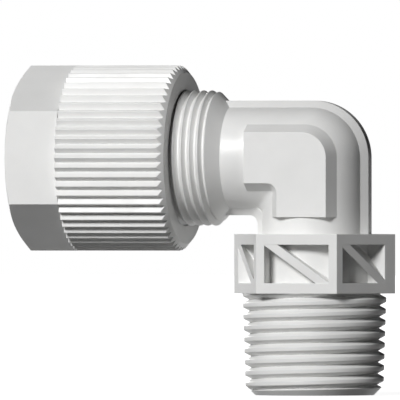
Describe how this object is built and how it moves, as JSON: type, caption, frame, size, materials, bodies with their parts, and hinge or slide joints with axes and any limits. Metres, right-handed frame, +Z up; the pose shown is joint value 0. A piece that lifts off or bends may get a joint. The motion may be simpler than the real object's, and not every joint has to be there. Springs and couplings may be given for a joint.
{
  "type": "ninety degree angle nipple",
  "caption": "White plastic ninety degree fitting: a taper port thread and spanner collar on one leg, and a knurled union nut with a clamp ring for tube on the other.",
  "frame": {"origin": "centre of the threaded port end's mouth, where the passage opens", "axes": "+Z up along the port leg, -X out along the tube arm towards the union nut's tube entry; the fitting's form is its own mirror image across the plane Y = 0, apart from its thread helices"},
  "size_m": [0.0452, 0.022, 0.039],
  "materials": {
    "body_plastic": "injection moulded, natural white, satin",
    "nut_plastic": "injection moulded, natural white, satin",
    "ring_plastic": "turned, natural white, smooth"
  },
  "bodies": {
    "elbow": {"elbow_body": "body_plastic"},
    "ring": {"clamp_ring": "ring_plastic"},
    "nut": {"union_nut": "nut_plastic"}
  },
  "joints": [
    {"name": "nut_advance", "type": "slide", "parent": "elbow", "child": "ring", "axis": [1, 0, 0], "range_m": [-0.0085, 0.0015]},
    {"name": "nut_turn", "type": "hinge", "parent": "ring", "child": "nut", "pos_m": [-0.0258, 0, 0.028], "axis": [1, 0, 0], "range_deg": [-3060, 540]}
  ],
  "couplings": [
    {"joint": "nut_advance", "follows": "nut_turn", "m_per_rad": 0.00015915}
  ]
}
